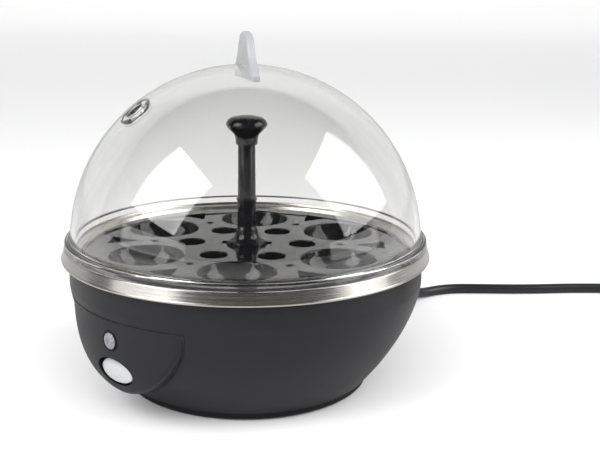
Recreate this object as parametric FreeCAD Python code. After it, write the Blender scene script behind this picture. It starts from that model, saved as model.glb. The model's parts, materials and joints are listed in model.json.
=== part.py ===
"""Electric egg cooker: clear domed lid, egg tray with a lifting post, steel water pan and mains lead.

Millimetres, +Z up. The origin is the centre of the base on the table, and the controls face -Y.
"""
import FreeCAD, Part
import math
import os
from FreeCAD import Vector as V

os.makedirs("parts", exist_ok=True)

# ---------------------------------------------------------------- driving dimensions
PAN_RIM_R = 84.85          # outer radius of the steel pan's flat rim
PAN_RIM_TOP = 66.3         # height of the rim the lid stands on
PAN_SHEET = 0.8            # pan sheet thickness
PAN_FLOOR = 44.0           # height of the wet floor of the pan
BAND_R = 86.2              # outer radius of the steel trim band at its lower edge
BAND_LOW, BAND_HIGH = 61.5, 67.4

LID_R = 82.0               # outer radius of the hemispherical lid
LID_WALL = 2.2
LID_CENTRE = 67.6          # height of the centre of the hemisphere
LID_SEAT = 66.5            # underside of the lid's flange
LID_FLANGE_R, LID_FLANGE_TOP = 84.5, 70.6
LID_TURN = 55.0            # the handle fin's direction, degrees round from -Y
FIN_TOP, FIN_THICK = 164.6, 3.6

TRAY_R = 76.6              # outer radius of the egg tray
TRAY_TOP = 65.8
TRAY_THICK = 2.0
TRAY_TURN = 40.2           # direction of the first egg cup, degrees round from -Y
TRAY_PLACES = 6
CUP_R, CUP_PITCH, CUP_DEPTH, CUP_WALL = 17.0, 50.0, 14.5, 1.6
VENT_R, VENT_PITCH = 6.3, 26.2
SMALL_R, SMALL_PITCH = 1.7, 43.9
POST_HOLE_R = 5.2

BODY_TOP = 61.0            # upper edge of the moulded bowl
BODY_R = 82.8              # its outer radius at the upper edge
BODY_WALL = 2.5
BOWL_START = 51.3          # the bowl starts to curve in below this height
BOWL_DROP, BOWL_POWER = 82.4, 1.556    # depth and exponent of the bowl's superellipse
FOOT_R, FOOT_LOW, FOOT_TOP = 57.5, 0.8, 3.8

POD_TOP = 47.3             # upper edge of the control housing
POD_R, POD_DROP, POD_POWER = 82.4, 58.0, 3.28   # superellipse of its front face
POD_WALL = 2.2
POD_ROOT = (37.7, 37.8, 1.4, -60.0)   # half width, drop, squareness and Y of the outline at the bowl
POD_FACE = (35.7, 32.8, 2.0, -84.0)   # the same further out
BUTTON_Z, BUTTON_W, BUTTON_H = 23.6, 21.0, 10.6
BUTTON_TRAVEL = 2.5
LENS_Z, LENS_R = 38.0, 3.4

ELEMENT_R, ELEMENT_TUBE = 38.0, 3.0
CORD_D = 5.6               # outer diameter of the mains lead
EXIT_Z, RELIEF_LENGTH = 22.0, 32.0
COIL_R = 30.0              # middle radius of the put-away coil


# ---------------------------------------------------------------- helpers
def around(degrees, radius, z=0.0):
    """The point at a direction measured round from -Y, towards +X."""
    a = math.radians(degrees)
    return V(radius * math.sin(a), -radius * math.cos(a), z)


def revolve(edges):
    """A solid of revolution about Z from a closed outline of edges in the XZ plane."""
    face = Part.Face(Part.Wire(Part.__sortEdges__(edges)))
    return face.revolve(V(0, 0, 0), V(0, 0, 1), 360)


def lathe(points):
    """A solid of revolution from straight sided (radius, height) points."""
    pts = [V(r, 0, z) for r, z in points]
    return revolve(Part.makePolygon(pts + [pts[0]]).Edges)


def line(a, b):
    return Part.makeLine(V(a[0], 0, a[1]), V(b[0], 0, b[1]))


def arc(a, m, b):
    return Part.Arc(V(a[0], 0, a[1]), V(m[0], 0, m[1]), V(b[0], 0, b[1])).toShape()


def spline(points):
    curve = Part.BSplineCurve()
    curve.interpolate([V(r, 0, z) for r, z in points])
    return curve.toShape()


def disc(radius, low, high, x=0.0, y=0.0):
    return Part.makeCylinder(radius, high - low, V(x, y, low))


def ring(outer, inner, low, high):
    return disc(outer, low, high).cut(disc(inner, low - 1, high + 1))


def rod(radius, start, end):
    axis = end - start
    return Part.makeCylinder(radius, axis.Length, start, axis)


def box(low, high):
    return Part.makeBox(high[0] - low[0], high[1] - low[1], high[2] - low[2], V(*low))


def turned(shape, degrees):
    out = shape.copy()
    out.rotate(V(0, 0, 0), V(0, 0, 1), degrees)
    return out


def fillet_at(shape, radius, test):
    """Round every edge whose middle point passes the test."""
    edges = [e for e in shape.Edges if test(e.valueAt((e.FirstParameter + e.LastParameter) / 2))]
    return shape.makeFillet(radius, edges)


def save(name, shapes):
    solids = shapes if isinstance(shapes, list) else [shapes]
    solids = [s for shape in solids for s in (shape.Solids or [shape])]
    out = solids[0] if len(solids) == 1 else Part.makeCompound(solids)
    if not out.isValid():
        print("not valid:", name)
    print(f"{name:20s} solids {len(solids):2d}  volume {out.Volume / 1000:8.2f} cm3")
    out.exportStep(f"parts/{name}.step")


# ---------------------------------------------------------------- outlines of revolution
def bowl_radius(z, inset=0.0):
    """Outer radius of the moulded bowl at a height, less an inset."""
    depth = max(0.0, BOWL_START - z) / BOWL_DROP
    return BODY_R * (1 - depth ** BOWL_POWER) ** (1 / BOWL_POWER) - inset


def pod_radius(z, inset=0.0):
    """Radius of the control housing's front face at a height, less an inset."""
    depth = max(0.0, POD_TOP + 1.5 - z) / POD_DROP
    return POD_R * (1 - depth ** POD_POWER) ** (1 / POD_POWER) - inset


def curve_down(radius_at, top, low, count, inset=0.0):
    heights = [top + (low - top) * i / (count - 1) for i in range(count)]
    return [(radius_at(z, inset), z) for z in heights]


def solid_below(radius_at, top, low, inset=0.0, straight_to=None):
    """Everything inside a curved outline, from a low to a top height."""
    start = top if straight_to is None else straight_to
    side = curve_down(radius_at, start, low, 9, inset)
    edges = [spline(side), line(side[-1], (0, low)), line((0, low), (0, top)),
             line((0, top), (side[0][0], top))]
    if straight_to is not None:
        edges.append(line((side[0][0], top), side[0]))
    return revolve(edges)


# ---------------------------------------------------------------- lid
def lid_shell(radius, seat):
    """Dome and flange in one solid, filled inside."""
    foot_r = math.sqrt(radius ** 2 - (seat - LID_CENTRE) ** 2)
    diagonal = radius * math.sqrt(0.5)
    edges = [arc((foot_r, seat), (diagonal, LID_CENTRE + diagonal), (0, LID_CENTRE + radius)),
             line((0, LID_CENTRE + radius), (0, seat)), line((0, seat), (foot_r, seat))]
    return revolve(edges)


def make_lid():
    dome = lid_shell(LID_R, LID_SEAT)
    flange = disc(LID_FLANGE_R, LID_SEAT, LID_FLANGE_TOP)
    flange = fillet_at(flange, 1.0, lambda p: p.z > LID_FLANGE_TOP - 0.1)
    dome = dome.fuse(flange).removeSplitter()
    dome = fillet_at(dome, 1.2, lambda p: abs(p.z - LID_FLANGE_TOP) < 0.5
                     and math.hypot(p.x, p.y) < LID_R + 0.3)
    hollow = lid_shell(LID_R - LID_WALL, LID_SEAT - 5)
    return dome.cut(hollow).cut(steam_hole(7.0))


STEAM_TURN, STEAM_TILT = -24.0, 39.8    # where the steam vent sits, from the top down


def steam_axis():
    side = around(STEAM_TURN, math.sin(math.radians(STEAM_TILT)))
    return V(side.x, side.y, math.cos(math.radians(STEAM_TILT)))


def steam_hole(radius, start=-12.0, end=12.0):
    axis = steam_axis()
    centre = V(0, 0, LID_CENTRE) + axis * LID_R
    return rod(radius, centre + axis * start, centre + axis * end)


def make_steam_vent():
    """A round grommet in the dome: a raised collar with a smaller hole."""
    collar = steam_hole(7.0, -3.0, -0.2).fuse(steam_hole(7.9, -0.2, 1.0)).removeSplitter()
    collar = fillet_at(collar, 0.45, lambda p: (p - V(0, 0, LID_CENTRE)).dot(steam_axis()) > LID_R + 0.9)
    shell_skin = lid_shell(LID_R, LID_SEAT - 5)
    collar = collar.cut(shell_skin.cut(steam_hole(6.98)))
    return collar.cut(steam_hole(4.2))


def make_lid_handle():
    """A thin upright fin, wide at the foot and rounded at the top, standing on the dome."""
    foot, top = 24.0, FIN_TOP
    low = LID_CENTRE + math.sqrt(LID_R ** 2 - foot ** 2) - 3.0
    crown = 9.0
    outline = [V(-foot, 0, low), V(-foot, 0, low + 3.6), V(-15.5, 0, top - 11),
               V(-crown, 0, top - 2.3), V(0, 0, top)]
    mirrored = [V(-p.x, 0, p.z) for p in reversed(outline[:-1])]
    curve = Part.BSplineCurve()
    curve.interpolate(outline[1:] + mirrored[:-1])
    edges = [curve.toShape(), Part.makeLine(mirrored[-2], mirrored[-1]),
             Part.makeLine(mirrored[-1], outline[0]), Part.makeLine(outline[0], outline[1])]
    fin = Part.Face(Part.Wire(Part.__sortEdges__(edges))).extrude(V(0, FIN_THICK, 0))
    fin.translate(V(0, -FIN_THICK / 2, 0))
    fin = fillet_at(fin, 1.1, lambda p: abs(abs(p.y) - FIN_THICK / 2) < 0.01 and p.z > low + 3.7)
    fin = fin.cut(lid_shell(LID_R + 0.02, LID_SEAT - 5))
    return turned(fin, LID_TURN - 90.0)


# ---------------------------------------------------------------- egg tray and lifting post
def make_tray():
    low = TRAY_TOP - TRAY_THICK
    edge = 1.2
    plate = lathe([(0, low), (TRAY_R - 4.6, low), (TRAY_R - 4.6, low - edge), (TRAY_R, low - edge),
                   (TRAY_R, TRAY_TOP - 1.4), (TRAY_R - 1.0, TRAY_TOP - 0.7), (TRAY_R - 3.4, TRAY_TOP - 0.7),
                   (TRAY_R - 4.2, TRAY_TOP), (0, TRAY_TOP)])
    sphere_r = (CUP_R ** 2 + CUP_DEPTH ** 2) / (2 * CUP_DEPTH)
    for i in range(TRAY_PLACES):
        cup_at = around(TRAY_TURN + 60 * i, CUP_PITCH, TRAY_TOP - CUP_DEPTH + sphere_r)
        bowl = Part.makeSphere(sphere_r + CUP_WALL, cup_at).common(
            disc(CUP_R + 8, TRAY_TOP - CUP_DEPTH - CUP_WALL, TRAY_TOP, cup_at.x, cup_at.y))
        collar_at = around(TRAY_TURN + 30 + 60 * i, VENT_PITCH)
        plate = plate.fuse([bowl, disc(VENT_R + 1.3, low - 2.2, TRAY_TOP, collar_at.x, collar_at.y)])
    for i in range(TRAY_PLACES):
        cup_at = around(TRAY_TURN + 60 * i, CUP_PITCH, TRAY_TOP - CUP_DEPTH + sphere_r)
        between = TRAY_TURN + 30 + 60 * i
        vent_at, small_at = around(between, VENT_PITCH), around(between, SMALL_PITCH)
        wedge = [around(between, 51.6, low - 1), around(between - 5.8, 65.6, low - 1),
                 around(between + 5.8, 65.6, low - 1)]
        slot = Part.Face(Part.makePolygon(wedge + [wedge[0]])).extrude(V(0, 0, 5))
        plate = plate.cut([Part.makeSphere(sphere_r, cup_at), slot,
                           disc(VENT_R, low - 4, TRAY_TOP + 1, vent_at.x, vent_at.y),
                           disc(SMALL_R, low - 1, TRAY_TOP + 1, small_at.x, small_at.y)])
    keyway = disc(POST_HOLE_R, low - 1, TRAY_TOP + 1).fuse(
        turned(box((-11.8, -2.6, low - 1), (11.8, 2.6, TRAY_TOP + 1)), POST_SLOT_TURN))
    plate = plate.cut(keyway).removeSplitter()
    for radius, soft in ((CUP_R, 0.9), (VENT_R, 0.6), (SMALL_R, 0.4)):
        rims = [e for e in plate.Edges if not e.Degenerated and isinstance(e.Curve, Part.Circle)
                and abs(e.Curve.Radius - radius) < 0.01 and abs(e.BoundBox.ZMin - TRAY_TOP) < 0.01]
        plate = plate.makeFillet(soft, rims)
    return plate


POST_SLOT_TURN = 40.0      # direction of the bayonet slots through the tray
POST_TURN_RANGE = 60.0     # the post turns this far from locked to free


def make_post_shaft():
    """Turned shaft with a flared foot above the tray and two bayonet lugs below it."""
    foot = TRAY_TOP + 0.1
    low = TRAY_TOP - TRAY_THICK
    outline = [(0, low - 2.6), (4.7, low - 2.6), (4.7, foot), (9.6, foot), (9.6, foot + 1.3)]
    flare = [(9.6, foot + 1.3), (6.6, foot + 3.0), (5.0, foot + 6.6)]
    upper = [(5.0, foot + 6.6), (4.55, foot + 8.0), (4.35, foot + 21.2), (4.0, foot + 21.2),
             (4.0, foot + 48.0), (0, foot + 48.0)]
    edges = [line(a, b) for a, b in zip(outline, outline[1:])]
    edges.append(arc(*flare))
    edges += [line(a, b) for a, b in zip(upper, upper[1:])]
    edges.append(line(upper[-1], outline[0]))
    lugs = box((-11.2, -2.3, low - 2.6), (11.2, 2.3, low - 0.3))
    lugs = lugs.common(disc(11.2, low - 3, low))
    return revolve(edges).fuse(turned(lugs, POST_SLOT_TURN - POST_TURN_RANGE)).removeSplitter()


def make_post_knob():
    """Mushroom cap pressed on the shaft."""
    low = TRAY_TOP + 0.1 + 47.0
    outline = [(4.0, low + 1.0), (4.0, low), (5.1, low), (5.1, low + 1.6)]
    crown = low + 13.6
    edges = [line(a, b) for a, b in zip(outline, outline[1:])]
    cap = Part.BSplineCurve()
    rise = [(5.1, low + 1.6), (5.8, low + 4.4), (8.4, low + 7.2), (9.6, low + 9.6), (7.6, low + 12.2), (0, crown)]
    cap.interpolate([V(r, 0, z) for r, z in rise], InitialTangent=V(0, 0, 1), FinalTangent=V(-1, 0, 0))
    edges += [cap.toShape(), line((0, crown), (0, low + 1.0)), line((0, low + 1.0), (4.0, low + 1.0))]
    return revolve(edges)


# ---------------------------------------------------------------- steel pan and what heats it
def make_pan():
    """Pressed steel pan: flat rim, sloping wall, ledge for the tray, rounded well and floor."""
    t = PAN_SHEET
    top, ledge = PAN_RIM_TOP, TRAY_TOP - TRAY_THICK - 1.3
    outside = [(PAN_RIM_R, top - t), (79.5, top - t), (77.9, ledge - t), (73.6, ledge - t),
               (71.6, ledge - 3), (66.0, PAN_FLOOR + 5.0)]
    inside = [(65.3, PAN_FLOOR + 5.6), (70.8, ledge - 2.6), (72.6, ledge), (77.2, ledge),
              (79.2, top), (PAN_RIM_R, top)]
    edges = [line(a, b) for a, b in zip(outside, outside[1:])]
    edges.append(arc(outside[-1], (63.6, PAN_FLOOR + 0.9), (58.0, PAN_FLOOR - t)))
    edges += [line((58.0, PAN_FLOOR - t), (0, PAN_FLOOR - t)), line((0, PAN_FLOOR - t), (0, PAN_FLOOR)),
              line((0, PAN_FLOOR), (58.0, PAN_FLOOR))]
    edges.append(arc((58.0, PAN_FLOOR), (63.0, PAN_FLOOR + 1.5), inside[0]))
    edges += [line(a, b) for a, b in zip(inside, inside[1:])]
    edges.append(line(inside[-1], outside[0]))
    return revolve(edges)


def make_band():
    """Spun trim band: a flared skirt with a rolled lip above and a bead below."""
    edges = [arc((BAND_R - 1.2, BAND_LOW + 0.5), (BAND_R - 0.55, BAND_LOW), (BAND_R, BAND_LOW + 0.5)),
             line((BAND_R, BAND_LOW + 0.5), (BAND_R - 0.25, BAND_LOW + 1.0)),
             arc((BAND_R - 0.25, BAND_LOW + 1.0), (BAND_R - 0.3, BAND_LOW + 3.2), (BAND_R - 0.6, BAND_HIGH - 0.6)),
             arc((BAND_R - 0.6, BAND_HIGH - 0.6), (BAND_R - 0.85, BAND_HIGH), (BAND_R - 1.25, BAND_HIGH - 0.5)),
             line((BAND_R - 1.25, BAND_HIGH - 0.5), (BAND_R - 1.2, BAND_LOW + 0.5))]
    return revolve(edges)


def make_element():
    """Tubular heating element: nearly a full ring with two terminals bent down at the rear."""
    height = PAN_FLOOR - PAN_SHEET - ELEMENT_TUBE - 0.1
    gap = 26.0
    start, end = around(180 + gap / 2, ELEMENT_R, height), around(180 - gap / 2, ELEMENT_R, height)
    middle = around(0, ELEMENT_R, height)
    path = Part.Wire([Part.Arc(start, middle, end).toShape()])
    tangent = V(0, 0, 1).cross(start)
    section = Part.Wire([Part.makeCircle(ELEMENT_TUBE, start, tangent)])
    loop = path.makePipeShell([section], True, False)
    drops = []
    for point in (start, end):
        knee = Part.makeSphere(ELEMENT_TUBE, point)
        drops += [knee, rod(ELEMENT_TUBE, point, point - V(0, 0, 12)), rod(1.2, point, point - V(0, 0, 20))]
    return Part.Solid(loop).fuse(drops).removeSplitter()


def make_element_clips():
    """Three saddles that hold the element to the pan's underside."""
    top = PAN_FLOOR - PAN_SHEET
    saddle = box((-4, -ELEMENT_R - 7, top - 7.6), (4, -ELEMENT_R + 7, top - 0.05))
    saddle = saddle.cut(box((-5, -ELEMENT_R - 8, top - 8.6), (5, -ELEMENT_R - 4, top - 1.2)))
    saddle = saddle.cut(box((-5, -ELEMENT_R + 4, top - 8.6), (5, -ELEMENT_R + 8, top - 1.2)))
    groove = ring(ELEMENT_R + 3.2, ELEMENT_R - 3.2, top - 6.5, top + 0.5)
    saddle = saddle.cut(groove)
    return [turned(saddle, angle) for angle in (-100, 0, 100)]


def make_heat_shield():
    shield = ring(54.0, 6.0, 31.6, 32.2).fuse(ring(54.0, 53.4, 31.6, 35.0))
    cuts = [disc(4.0, 30, 36, *around(direction, POST_R)[:2]) for direction in POST_DIRECTIONS]
    for side in (-1, 1):
        cuts.append(disc(4.5, 30, 36, *around(180 + side * 13.0, ELEMENT_R)[:2]))
    return shield.cut(cuts)


POST_DIRECTIONS = (60.0, 180.0 + 30.0, -60.0)    # where the pan's threaded posts stand
POST_R = 45.0


def make_pan_posts():
    """Threaded posts under the pan; the base cover is screwed up into them."""
    posts = []
    for direction in POST_DIRECTIONS:
        at = around(direction, POST_R)
        posts.append(disc(3.4, 8.2, PAN_FLOOR - PAN_SHEET, at.x, at.y).cut(disc(1.6, 8, 22, at.x, at.y)))
    return posts


def make_thermostat():
    top = PAN_FLOOR - PAN_SHEET
    body = disc(8.0, top - 4.0, top).fuse(disc(6.4, top - 9.0, top - 4.0))
    for side in (-1, 1):
        body = body.fuse(box((side * 4 - 1.6, -0.4, top - 14), (side * 4 + 1.6, 0.4, top - 8.9)))
    return body.removeSplitter()


def make_thermal_fuse():
    """Axial fuse in its sleeve, held by a strap against the pan beside the thermostat."""
    height = PAN_FLOOR - PAN_SHEET - 2.2
    sleeve = rod(2.0, V(-8, 17, height), V(8, 17, height))
    leads = [rod(0.6, V(-18, 17, height), V(-8, 17, height)), rod(0.6, V(8, 17, height), V(18, 17, height))]
    return sleeve.fuse(leads).removeSplitter()


def make_gasket():
    """Silicone ring between the bowl's upper edge and the pan's rim."""
    return ring(82.5, 80.4, BODY_TOP, PAN_RIM_TOP - PAN_SHEET)


# ---------------------------------------------------------------- moulded body and its controls
def pod_outline(shape, top, inset):
    """Half rounded outline that hangs from a level upper edge, in a plane across Y."""
    width, depth, power, y = shape
    half, drop = width - inset, depth + top - POD_TOP - inset
    steps = [math.radians(90.0 * i / 5) for i in range(5)]
    side = [(half * math.cos(a) ** (2 / power), drop * math.sin(a) ** (2 / power)) for a in steps]
    left = [V(-x, y, top - d) for x, d in side]
    right = [V(x, y, top - d) for x, d in reversed(side)]
    curve = Part.BSplineCurve()
    curve.interpolate(left + [V(0, y, top - drop)] + right)
    return Part.Wire([curve.toShape(), Part.makeLine(right[-1], left[0])])


def pod_block(top, inset=0.0):
    """The housing's outline swept out of the bowl, narrowing as it goes, to its curved front face."""
    swept = Part.makeLoft([pod_outline(POD_ROOT, top, inset), pod_outline(POD_FACE, top, inset)], True, True)
    return swept.common(solid_below(pod_radius, top, 2.0, inset))


def bowl_solid(inset=0.0, low=FOOT_TOP):
    return solid_below(bowl_radius, BODY_TOP + 1, low, inset, BOWL_START)


def make_body():
    shell = solid_below(bowl_radius, BODY_TOP, FOOT_TOP, 0.0, BOWL_START)
    shell = shell.cut(solid_below(bowl_radius, BODY_TOP + 1, FOOT_TOP - 0.01, BODY_WALL, BOWL_START))
    shell = shell.fuse(ring(bowl_radius(FOOT_TOP) - 1.5, 50.0, FOOT_TOP, FOOT_TOP + 2.0)).removeSplitter()
    window = pod_block(POD_TOP - 4.0, 4.0)
    gland = rod(5.6, V(0, 60, EXIT_Z), V(0, 90, EXIT_Z))
    lens_seat = rod(LENS_R + 2.6, V(0, -90, LENS_Z), V(0, -60, LENS_Z))
    return shell.cut([window, gland, lens_seat])


def make_lugs():
    """Two small carrying lugs below the band."""
    lugs = []
    for direction in (-55.0, 145.0):
        blade = lathe([(70, 45), (bowl_radius(45) + 0.1, 43), (85.3, 57.4), (85.3, 60.6), (70, 60.6)])
        blade = turned(blade.common(box((-9, -90, 40), (9, -60, 62))), direction)
        lugs.append(blade.cut(bowl_solid()))
    return lugs


def oval(width, height, y_front, y_back, z):
    """Elliptical block along Y."""
    ellipse = Part.Ellipse(V(width / 2, y_front, z), V(0, y_front, z + height / 2), V(0, y_front, z))
    face = Part.Face(Part.Wire([ellipse.toShape()]))
    return face.extrude(V(0, y_back - y_front, 0))


def make_pod():
    """Hollow housing under the bowl, with a button opening and a lens opening in its front face."""
    hollow = pod_block(POD_TOP - POD_WALL, POD_WALL)
    return pod_block(POD_TOP).cut([hollow, bowl_solid(-0.1, 1.0),
                                   oval(BUTTON_W + 0.8, BUTTON_H + 0.8, -90, -74, BUTTON_Z),
                                   rod(LENS_R + 0.8, V(0, -90, LENS_Z), V(0, -74, LENS_Z))])


def make_button():
    """Oval cap with a crowned face, a hidden flange and a stem to the switch."""
    cap = oval(BUTTON_W, BUTTON_H, -81.4, -73.6, BUTTON_Z)
    crown = Part.makeSphere(60.0, V(0, -20.6, BUTTON_Z + 6.0))
    cap = cap.common(crown)
    cap = fillet_at(cap, 0.6, lambda p: p.y < -78.5)
    flange = oval(BUTTON_W + 3.0, BUTTON_H + 1.6, -74.4, -73.4, BUTTON_Z)
    stem = rod(2.2, V(0, -74, BUTTON_Z), V(0, -70.2, BUTTON_Z))
    return cap.fuse([flange, stem]).removeSplitter()


def make_switch():
    body = box((-7, -66.4, BUTTON_Z - 6), (7, -58.0, BUTTON_Z + 6))
    nose = box((-3, -67.4, BUTTON_Z - 3), (3, -66.4, BUTTON_Z + 3))
    return body.fuse(nose).removeSplitter()


def make_button_spring():
    """Return spring round the stem, drawn as its closed outer sleeve."""
    sleeve = rod(3.4, V(0, -73.3, BUTTON_Z), V(0, -67.5, BUTTON_Z))
    return sleeve.cut(rod(2.5, V(0, -76, BUTTON_Z), V(0, -66, BUTTON_Z)))


def make_board():
    board = box((-21, -58.0, 13.0), (21, -56.4, 40.0))
    relay = box((7, -56.4, 16), (18, -48.0, 28))
    parts = [relay, box((-18, -56.4, 15), (-9, -51, 21)), rod(3.0, V(-14, -56.4, 27), V(-14, -49, 27))]
    return board.fuse(parts).removeSplitter()


def make_lamp():
    """Neon indicator lamp on two stiff leads from the board."""
    bulb = rod(2.5, V(0, -72.6, LENS_Z), V(0, -64, LENS_Z)).fuse(Part.makeSphere(2.5, V(0, -72.6, LENS_Z)))
    leads = [rod(0.4, V(x, -64, LENS_Z), V(x, -58.0, LENS_Z)) for x in (-1.2, 1.2)]
    return bulb.fuse(leads).removeSplitter()


def make_lens():
    """Round translucent lens seated in the housing."""
    face = pod_radius(LENS_Z)
    lens = rod(LENS_R, V(0, -face + 5.0, LENS_Z), V(0, -face - 0.2, LENS_Z))
    lens = lens.fuse(Part.makeSphere(6.2, V(0, -face + 4.9, LENS_Z)).common(
        rod(LENS_R, V(0, -face - 3, LENS_Z), V(0, -face, LENS_Z))))
    flange = rod(LENS_R + 1.7, V(0, -face + 2.9, LENS_Z), V(0, -face + 4.2, LENS_Z))
    bore = rod(2.7, V(0, -face + 1.6, LENS_Z), V(0, -face + 7, LENS_Z))
    return lens.fuse(flange).removeSplitter().cut(bore)


# ---------------------------------------------------------------- base cover, feet and screws
FOOT_DIRECTIONS = (45.0, 135.0, 225.0, 315.0)
FOOT_PAD_R, FOOT_PITCH = 6.0, 46.0


def make_base_cover():
    cover = lathe([(0, FOOT_LOW + 1.2), (50.0, FOOT_LOW + 1.2), (52.5, FOOT_LOW), (FOOT_R - 0.8, FOOT_LOW),
                   (FOOT_R, FOOT_LOW + 0.8), (FOOT_R, FOOT_TOP), (49.7, FOOT_TOP), (49.7, FOOT_TOP + 3.0),
                   (47.9, FOOT_TOP + 3.0), (47.9, FOOT_TOP), (0, FOOT_TOP)])
    for direction in POST_DIRECTIONS:
        at = around(direction, POST_R)
        cover = cover.fuse(disc(4.4, FOOT_TOP, 8.0, at.x, at.y))
    cuts = []
    for direction in POST_DIRECTIONS:
        at = around(direction, POST_R)
        cuts += [disc(2.1, 0, 9, at.x, at.y), disc(4.0, 0, FOOT_LOW + 3.2, at.x, at.y)]
    for direction in FOOT_DIRECTIONS:
        at = around(direction, FOOT_PITCH)
        cuts.append(disc(FOOT_PAD_R + 0.1, 0, FOOT_LOW + 1.8, at.x, at.y))
    for row in range(-2, 3):
        cuts.append(box((-14, row * 6 - 1.2, 0), (14, row * 6 + 1.2, 8)))
    return cover.cut(cuts)


def make_feet():
    pads = []
    for direction in FOOT_DIRECTIONS:
        at = around(direction, FOOT_PITCH)
        pads.append(disc(FOOT_PAD_R, 0, FOOT_LOW + 1.8, at.x, at.y))
    return pads


def make_base_screws():
    screws = []
    for direction in POST_DIRECTIONS:
        at = around(direction, POST_R)
        head = disc(3.6, FOOT_LOW + 1.0, FOOT_LOW + 3.1, at.x, at.y)
        head = head.cut([box((at.x - 2.2, at.y - 0.4, 0), (at.x + 2.2, at.y + 0.4, FOOT_LOW + 2.0)),
                         box((at.x - 0.4, at.y - 2.2, 0), (at.x + 0.4, at.y + 2.2, FOOT_LOW + 2.0))])
        screws.append(head.fuse(disc(1.55, FOOT_LOW + 3.0, 20.0, at.x, at.y)).removeSplitter())
    return screws


# ---------------------------------------------------------------- mains wiring inside
def make_terminal_block():
    block = box((-14, 22, FOOT_TOP + 0.1), (14, 33, 16.5))
    for x in (-9, 0, 9):
        block = block.cut(rod(1.6, V(x, 20, 10), V(x, 35, 10))).cut(disc(2.0, 12, 17, x, 27.5))
    return block


def make_terminal_screws():
    return [disc(1.7, 12.2, 15.6, x, 27.5) for x in (-9, 0, 9)]


def make_cord_clamp():
    """Bridge that grips the lead just inside the rear wall."""
    saddle = box((-9, 42.6, FOOT_TOP + 3.2), (9, 46.6, EXIT_Z + 5.0))
    feet = box((-9, 42.6, FOOT_TOP + 0.05), (9, 46.6, FOOT_TOP + 3.2))
    return saddle.fuse(feet).removeSplitter().cut(rod(CORD_D / 2 + 0.02, V(0, 42, EXIT_Z), V(0, 48, EXIT_Z)))


def make_wires():
    """Insulated wires: the lead's cores down to the terminals, and three more on to the board."""
    wires = []
    for x in (-1.5, 0.0, 1.5):
        core = [V(x, LEAD_STRIPPED_Y - 0.6, EXIT_Z), V(x * 2, LEAD_STRIPPED_Y - 3, EXIT_Z - 1),
                V(x * 6, 37.5, 13), V(x * 6, 33.1, 10)]
        wires.append(tube(core, 0.7))
    for x, drop in ((-9, 6.2), (0, 5.6), (9, 6.2)):
        points = [V(x, 21.9, 10), V(x, 10, 10), V(x * 0.8, -30, 10 + drop), V(x * 0.8, -46.8, 10 + drop)]
        wires.append(tube(points, 1.3))
    return wires


# ---------------------------------------------------------------- mains lead
CORD_ON_TABLE = CORD_D / 2 + 0.1
RELIEF_WALL = 70.2         # where the strain relief leaves the rear wall
RELIEF_INSIDE = 61.6       # back of its flange inside the wall
LEAD_STRIPPED_Y = 40.0     # where the lead's sheath ends
EXIT_Y = RELIEF_WALL + RELIEF_LENGTH
COIL_CENTRE = V(115.0, 251.0, 0)
LEAD_END = COIL_CENTRE + V(-0.7071, 0.7071, 0) * COIL_R
LEAD_ROUTE = [
    (0.0, EXIT_Y, EXIT_Z),
    (-2.0, 119.0, 20.2),
    (-7.0, 138.0, 8.4),
    (-11.0, 157.0, CORD_ON_TABLE),
    (-5.0, 177.0, CORD_ON_TABLE),
    (11.0, 192.0, CORD_ON_TABLE),
    (31.0, 210.0, CORD_ON_TABLE),
    (51.0, 233.0, CORD_ON_TABLE),
    (72.0, 252.0, CORD_ON_TABLE),
    (LEAD_END.x, LEAD_END.y, CORD_ON_TABLE),
]
TAIL_START = COIL_CENTRE + V(COIL_R, 0, CORD_ON_TABLE + 3.0)
PLUG_CENTRE = V(147.0, 189.0, 0)
PLUG_TURN = 0.0


def tube(points, radius, report=None):
    """A round tube along straight runs joined by tangent arcs as large as the runs allow."""
    pts = [V(*p) for p in points]
    edges, start, length, radii = [], pts[0], 0.0, []
    for i in range(1, len(pts) - 1):
        before, after = pts[i] - pts[i - 1], pts[i + 1] - pts[i]
        turn = before.getAngle(after)
        if turn < 1e-4:
            continue
        reach = 0.45 * min(before.Length, after.Length)
        a = pts[i] - before.normalize() * reach
        b = pts[i] + after.normalize() * reach
        corner_r = reach / math.tan(turn / 2)
        radii.append(corner_r)
        inward = (a + b) * 0.5 - pts[i]
        mid = pts[i] + inward.normalize() * (corner_r / math.cos(turn / 2) - corner_r)
        edges.append(Part.LineSegment(start, a).toShape())
        edges.append(Part.Arc(a, mid, b).toShape())
        start = b
    edges.append(Part.LineSegment(start, pts[-1]).toShape())
    path = Part.Wire(edges)
    section = Part.Wire([Part.makeCircle(radius, pts[0], pts[1] - pts[0])])
    solid = Part.Solid(path.makePipeShell([section], True, True))
    length = path.Length
    if report:
        expected = math.pi * radius ** 2 * length
        print(f"{report}: length {length:.1f}, radii {[round(r) for r in radii]},"
              f" volume {solid.Volume / expected:.4f} of section times length")
    return solid


def make_lead():
    return tube(LEAD_ROUTE, CORD_D / 2, "cord_lead")


def make_coil():
    """The put-away turns: a ring two leads wide and two high, with rounded corners."""
    half, corner = CORD_D + 0.5, 2.6
    low, high = 0.1, 2 * CORD_D + 0.5
    solid = ring(COIL_R + half, COIL_R - half, low, high)
    solid = solid.makeFillet(corner, [e for e in solid.Edges if isinstance(e.Curve, Part.Circle)])
    solid.translate(COIL_CENTRE)
    return solid


def make_tail():
    """The short stretch from the coil to the plug."""
    plug_entry = PLUG_CENTRE + V(0, 30.0, 6.6)
    return tube([TAIL_START, V(TAIL_START.x + 0.4, TAIL_START.y - 16.0, 6.2), plug_entry], CORD_D / 2, "cord_tail")


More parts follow.
